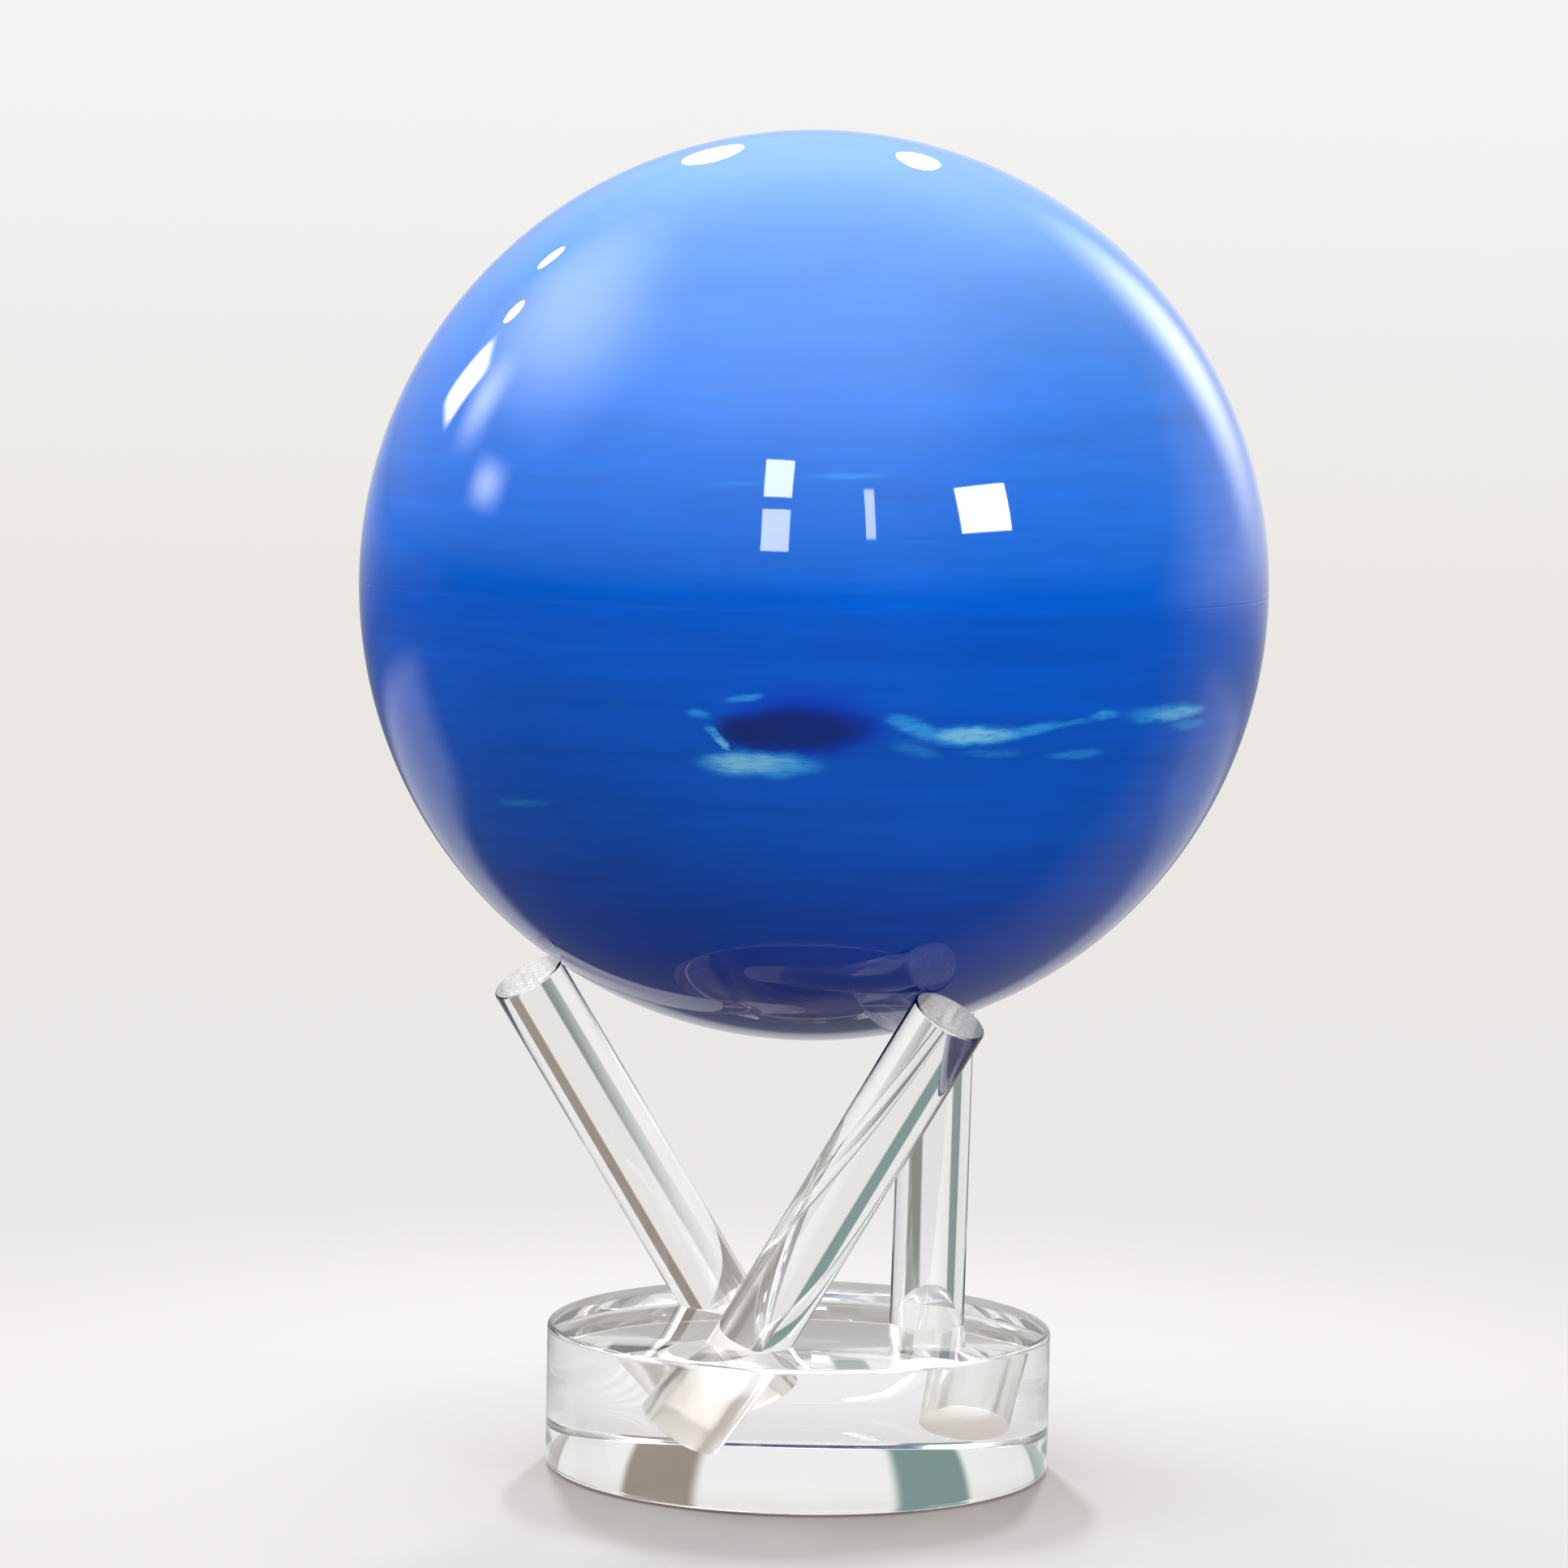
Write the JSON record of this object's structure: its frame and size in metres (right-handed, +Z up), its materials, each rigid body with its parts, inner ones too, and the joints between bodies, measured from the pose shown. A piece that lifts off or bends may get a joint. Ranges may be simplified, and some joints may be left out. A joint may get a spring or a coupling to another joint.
{
  "type": "desktop globe on stand",
  "caption": "Self-turning planet globe: a clear ball with a blue printed globe floating inside, resting loosely on leaning clear rods in a thick clear disc.",
  "frame": {"origin": "centre of the stand disc's underside", "axes": "+Z up along the disc's axis and through the ball's centre; -Y is the side with the front left rod's foot, facing the usual viewer"},
  "size_m": [0.1142, 0.1142, 0.1691],
  "materials": {
    "disc_acrylic": "polished clear acrylic",
    "rod_acrylic": "polished clear acrylic with sawn ends",
    "shell_acrylic": "polished clear acrylic",
    "clear_fluid": "clear thin fluid",
    "printed_skin": "printed translucent film",
    "globe_plastic": "moulded translucent white",
    "seal_rubber": "moulded",
    "circuit_board": "solder mask",
    "solar_cell": "coated silicon",
    "coil_copper": "enamelled copper wire",
    "brass_parts": "turned",
    "ballast_metal": "cast, not magnetic",
    "aluminium_parts": "satin",
    "jewel": "polished synthetic ruby",
    "steel_spindle": "polished pivots",
    "plated_magnet": "nickel plated",
    "black_shade": "matt black film"
  },
  "bodies": {
    "stand": {"base_disc": "disc_acrylic", "support_rod_1": "rod_acrylic", "support_rod_2": "rod_acrylic", "support_rod_3": "rod_acrylic"},
    "outer_globe": {"outer_shell_upper": "shell_acrylic", "outer_shell_lower": "shell_acrylic", "fill_plug": "shell_acrylic", "plug_seal": "seal_rubber", "suspension_fluid": "clear_fluid"},
    "inner_globe": {"graphic_skin_upper": "printed_skin", "graphic_skin_lower": "printed_skin", "inner_globe_upper": "globe_plastic", "inner_globe_lower": "globe_plastic", "joint_ring": "globe_plastic", "carrier_plate": "circuit_board", "carrier_screws": "brass_parts", "bearing_bridge": "aluminium_parts", "bridge_screws": "brass_parts", "upper_jewel": "jewel", "lower_jewel": "jewel", "bearing_post": "aluminium_parts", "ballast_weight": "ballast_metal", "solar_cell_1": "solar_cell", "solar_cell_2": "solar_cell", "solar_cell_3": "solar_cell", "solar_cell_4": "solar_cell", "drive_coil_1": "coil_copper", "drive_coil_2": "coil_copper", "drive_coil_3": "coil_copper", "drive_coil_4": "coil_copper"},
    "compass_rotor": {"rotor_spindle": "steel_spindle", "compass_magnet": "plated_magnet", "magnet_holder": "brass_parts", "shade_disc": "black_shade"}
  },
  "joints": [
    {"name": "globe_lift", "type": "slide", "parent": "stand", "child": "outer_globe", "axis": [0, 0, 1], "range_m": [0, 0.06]},
    {"name": "globe_spin", "type": "hinge", "parent": "outer_globe", "child": "inner_globe", "pos_m": [0, 0, 0.11194], "axis": [0, 0, 1], "continuous": true},
    {"name": "compass_swing", "type": "hinge", "parent": "inner_globe", "child": "compass_rotor", "pos_m": [0, 0, 0.11194], "axis": [0, 0, 1], "continuous": true}
  ],
  "couplings": [
    {"joint": "compass_swing", "follows": "globe_spin", "ratio": -1}
  ]
}
